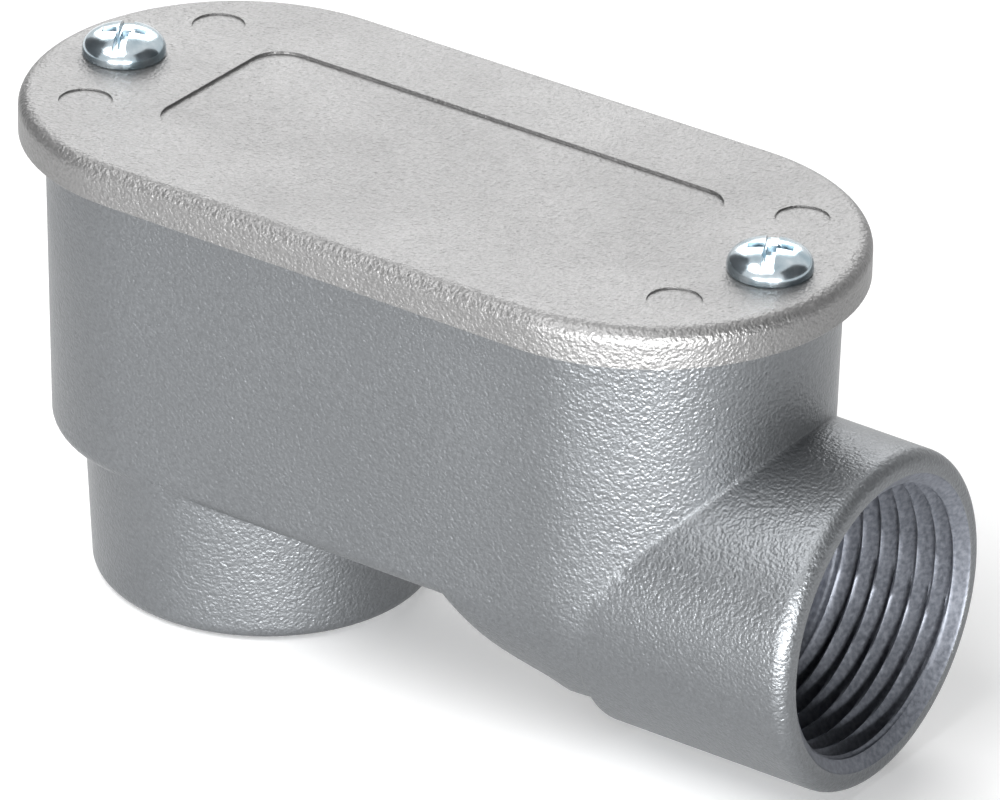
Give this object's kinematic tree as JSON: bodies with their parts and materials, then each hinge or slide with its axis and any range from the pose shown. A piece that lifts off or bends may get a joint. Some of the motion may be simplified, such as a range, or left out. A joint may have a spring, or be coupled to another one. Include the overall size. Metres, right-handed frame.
{
  "type": "conduit body",
  "caption": "Die-cast threaded conduit body with a side hub, a rear hub, a gasket and a flat oblong cover held by screws.",
  "frame": {"origin": "centre of the rear hub's mouth", "axes": "+Z from the rear hub's mouth towards the cover, +X out of the side hub, +Y across the body"},
  "size_m": [0.0854, 0.0374, 0.0462],
  "materials": {
    "casting": "pebbled satin",
    "cover": "pebbled satin",
    "gasket": "matt",
    "screw": "bright zinc"
  },
  "bodies": {
    "casting": {"body_casting": "casting", "side_casting": "casting", "rear_hub": "casting", "side_hub": "casting", "gasket": "gasket"},
    "cover": {"cover": "cover"},
    "rear_screw": {"screw_rear": "screw"},
    "side_screw": {"screw_side": "screw"}
  },
  "joints": [
    {"name": "cover_lift", "type": "slide", "parent": "casting", "child": "cover", "axis": [0, 0, 1], "range_m": [0, 0.03]},
    {"name": "rear_screw_turn", "type": "hinge", "parent": "cover", "child": "rear_screw", "pos_m": [-0.01535, 0, 0.044], "axis": [0, 0, 1], "range_deg": [0, 2880]},
    {"name": "side_screw_turn", "type": "hinge", "parent": "cover", "child": "side_screw", "pos_m": [0.05115, 0, 0.044], "axis": [0, 0, 1], "range_deg": [0, 2880]}
  ]
}
